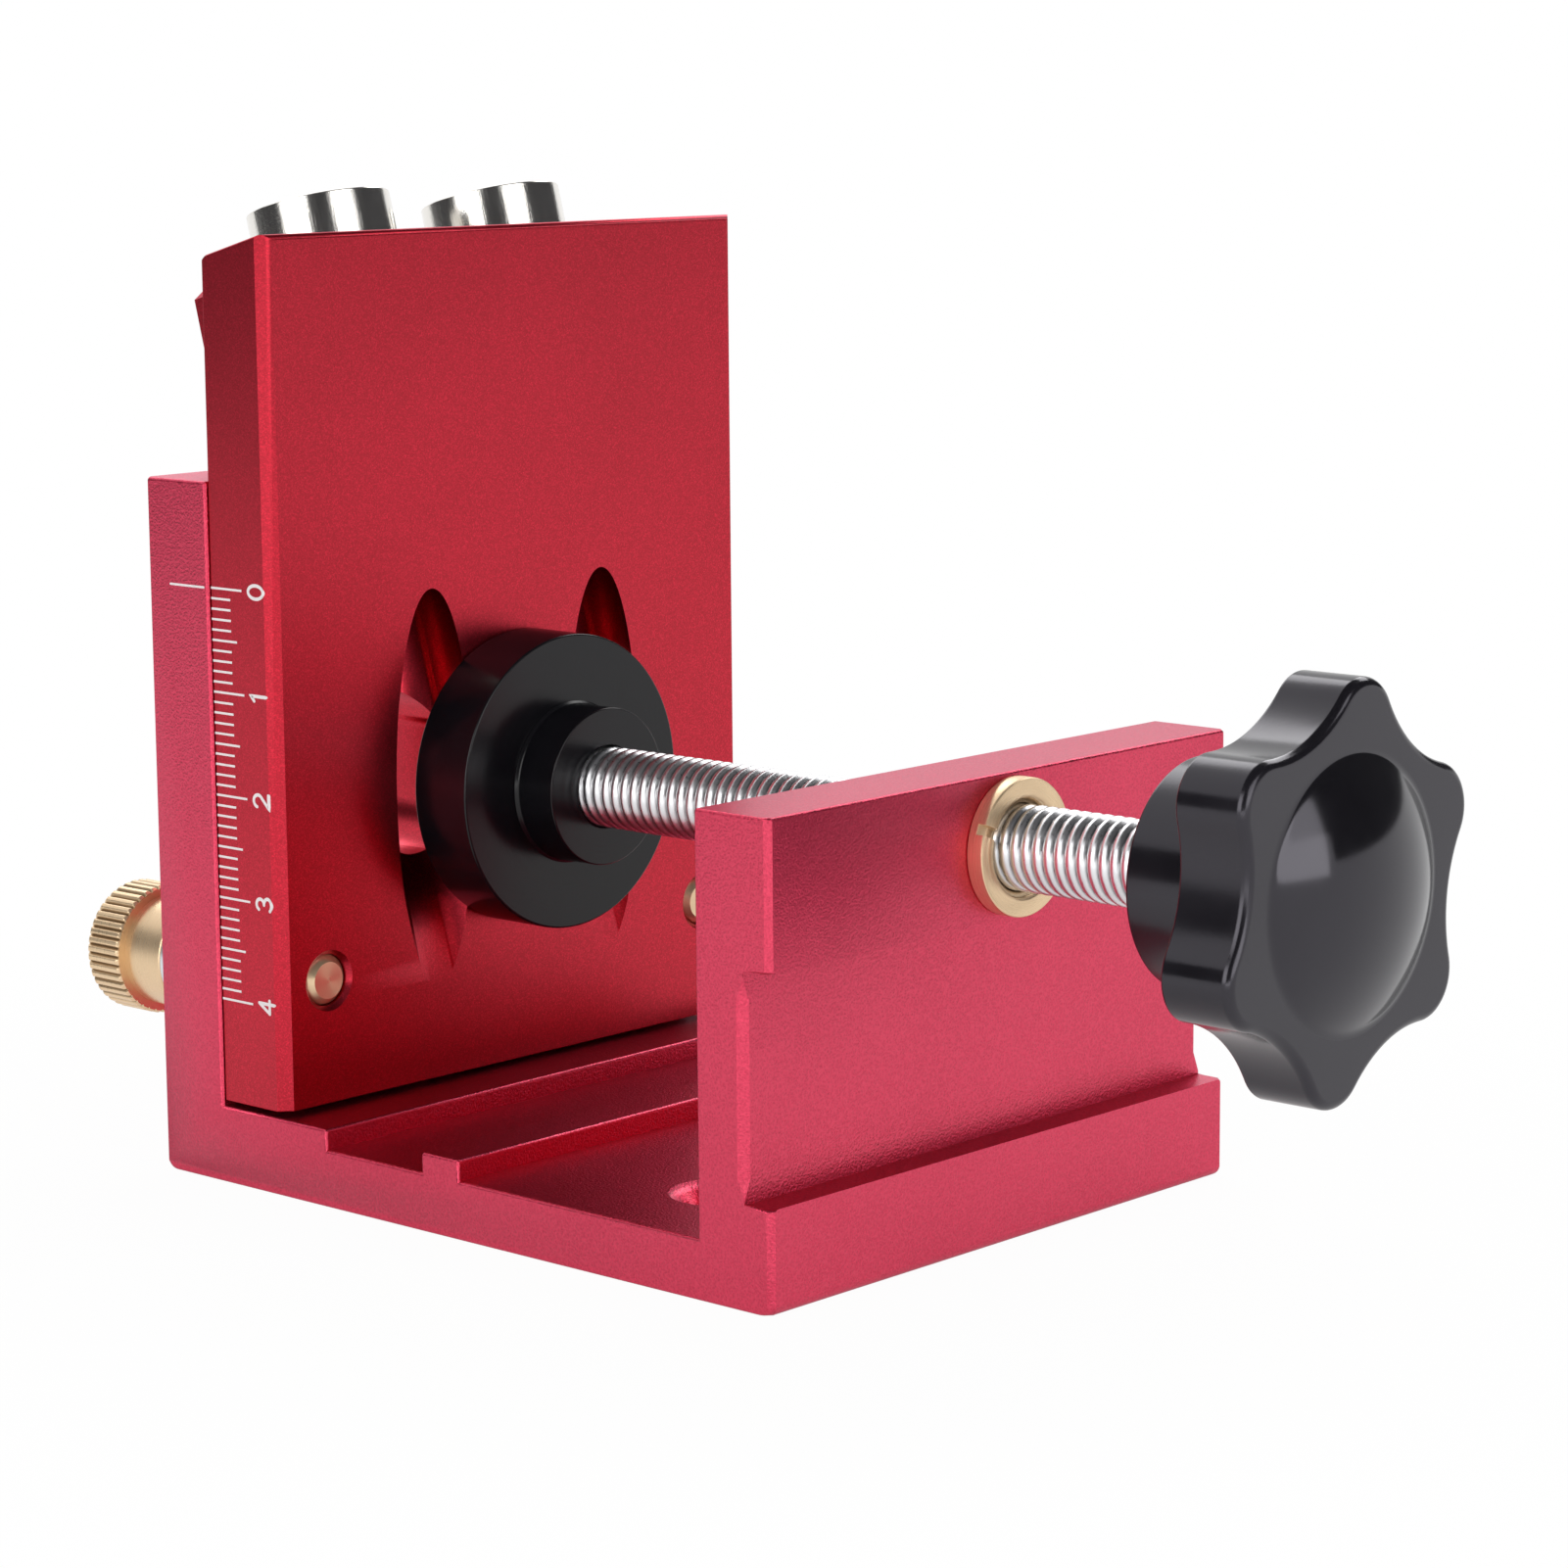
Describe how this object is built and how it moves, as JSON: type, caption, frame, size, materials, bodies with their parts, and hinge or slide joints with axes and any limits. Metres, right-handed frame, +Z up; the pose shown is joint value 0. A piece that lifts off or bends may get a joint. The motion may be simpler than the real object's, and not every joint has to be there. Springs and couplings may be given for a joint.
{
  "type": "drilling jig",
  "caption": "Drilling jig with a sliding guide block that holds slanted drill bushes, on a U-shaped base with a star-knob screw clamp.",
  "frame": {"origin": "centre of the base's underside", "axes": "+Z up, +X along the clamp screw from the back wall towards the knob, +Y along the walls"},
  "size_m": [0.1333, 0.0656, 0.0957],
  "materials": {
    "red_base": "bead-blasted, red anodised",
    "red_block": "fine satin, red anodised",
    "plated_bush": "polished plating",
    "brass": "turned",
    "washer_steel": "zinc plated",
    "screw_steel": "bright plated",
    "black_pad": "turned, satin",
    "black_knob": "moulded, semi-gloss",
    "black_cap": "polished"
  },
  "bodies": {
    "base": {"base_channel": "red_base", "clamp_bush": "brass"},
    "guide": {"guide_block": "red_block", "left_drill_bush": "plated_bush", "right_drill_bush": "plated_bush"},
    "left_washer": {"left_thumb_washer": "washer_steel"},
    "left_thumb": {"left_thumb_screw": "brass"},
    "right_washer": {"right_thumb_washer": "washer_steel"},
    "right_thumb": {"right_thumb_screw": "brass"},
    "pad": {"clamp_pad": "black_pad", "pad_collar": "black_pad"},
    "screw": {"clamp_screw": "screw_steel", "clamp_knob": "black_knob", "knob_cap": "black_cap", "knob_nut": "washer_steel"}
  },
  "joints": [
    {"name": "block_lift", "type": "slide", "parent": "base", "child": "guide", "axis": [0, 0, 1], "range_m": [0, 0.04]},
    {"name": "left_loosen", "type": "slide", "parent": "guide", "child": "left_washer", "axis": [-1, 0, 0], "range_m": [0, 0.0016]},
    {"name": "left_turn", "type": "hinge", "parent": "left_washer", "child": "left_thumb", "pos_m": [-0.0416, -0.0263, 0.0202], "axis": [-1, 0, 0], "range_deg": [0, 720]},
    {"name": "right_loosen", "type": "slide", "parent": "guide", "child": "right_washer", "axis": [-1, 0, 0], "range_m": [0, 0.0016]},
    {"name": "right_turn", "type": "hinge", "parent": "right_washer", "child": "right_thumb", "pos_m": [-0.0416, 0.0263, 0.0202], "axis": [-1, 0, 0], "range_deg": [0, 720]},
    {"name": "clamp_travel", "type": "slide", "parent": "base", "child": "pad", "axis": [1, 0, 0], "range_m": [0, 0.042]},
    {"name": "clamp_turn", "type": "hinge", "parent": "pad", "child": "screw", "pos_m": [0.0424, 0, 0.0371], "axis": [1, 0, 0], "range_deg": [0, 12096]}
  ],
  "couplings": [
    {"joint": "left_turn", "follows": "left_loosen", "rad_per_m": 7853.9},
    {"joint": "right_turn", "follows": "right_loosen", "rad_per_m": 7853.9},
    {"joint": "clamp_turn", "follows": "clamp_travel", "rad_per_m": 5026.5}
  ]
}
